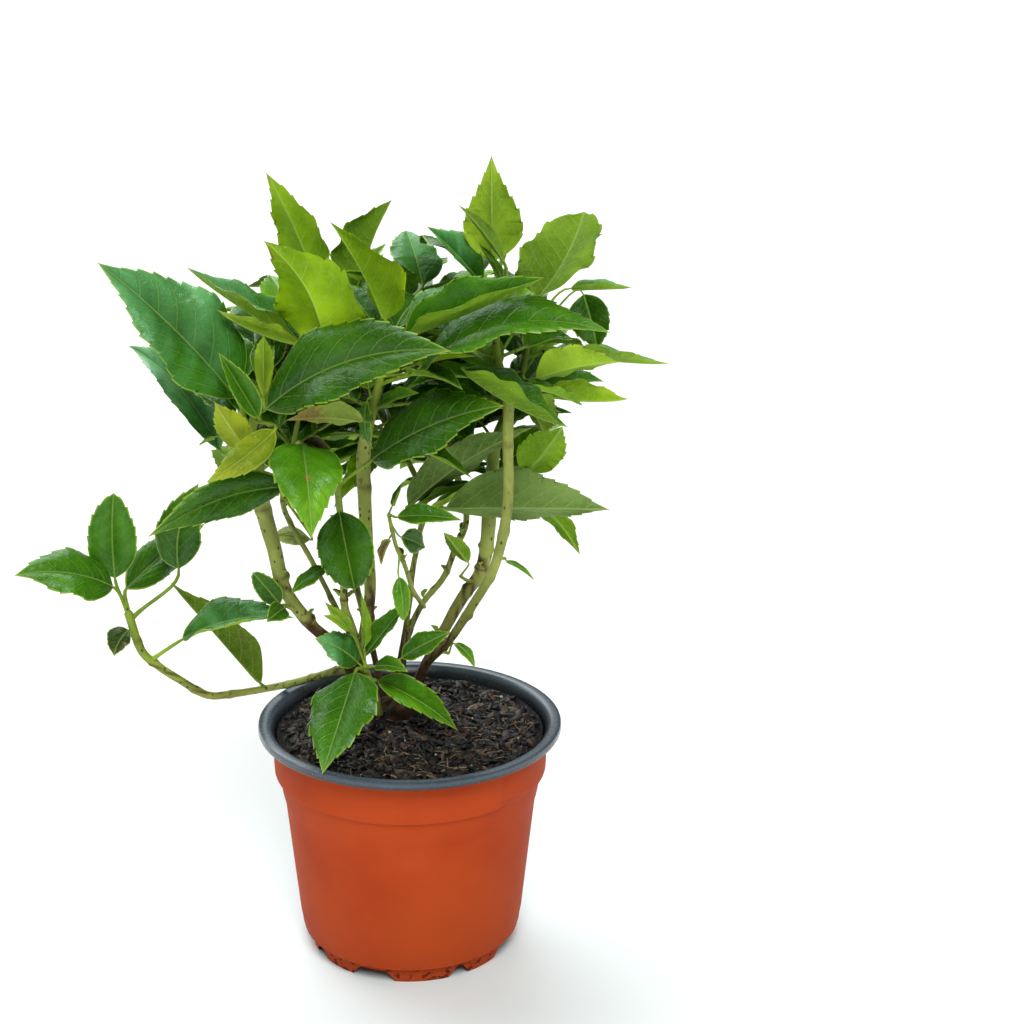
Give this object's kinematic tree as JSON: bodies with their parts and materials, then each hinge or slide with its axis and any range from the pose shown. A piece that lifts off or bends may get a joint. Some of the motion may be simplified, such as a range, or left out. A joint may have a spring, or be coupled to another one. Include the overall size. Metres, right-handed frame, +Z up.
{
  "type": "potted hydrangea shrub",
  "caption": "Young leafy hydrangea shrub with several stems and toothed leaves in a round terracotta-coloured nursery pot.",
  "frame": {"origin": "middle of the pot's underside, on the surface that the pot stands on", "axes": "+Z up along the pot's axis, +X to the right and +Y away from a viewer in front of the plant"},
  "size_m": [0.2716, 0.1902, 0.3431],
  "materials": {
    "pot_plastic": "satin moulded plastic, grey inside and on the rim",
    "potting_soil": "damp crumbly potting mix with bark chips",
    "woody_base": "rough brown bark",
    "green_stem": "smooth pale green young stem",
    "foliage": "glossy leaf, paler and matt underneath"
  },
  "bodies": {
    "root": {"pot": "pot_plastic", "soil": "potting_soil", "root_crown": "woody_base", "stem_left": "green_stem", "stem_centre": "green_stem", "stem_right": "green_stem", "stem_right_inner": "green_stem", "stem_back": "green_stem", "stem_back_thin": "green_stem", "stem_left_inner": "green_stem", "stem_rear": "green_stem", "arching_shoot": "green_stem", "front_stub": "green_stem", "slender_shoot": "green_stem", "crown_left": "foliage", "crown_inner": "foliage", "crown_front": "foliage", "crown_right": "foliage", "crown_far_right": "foliage", "crown_back": "foliage", "crown_back_left": "foliage", "crown_rear": "foliage", "low_shoot": "foliage", "front_shoot": "foliage", "inner_shoot": "foliage", "basal_rosette": "foliage", "left_sprig": "foliage", "right_sprig": "foliage", "foot_sprig": "foliage", "right_twiglet": "foliage"}
  },
  "joints": []
}
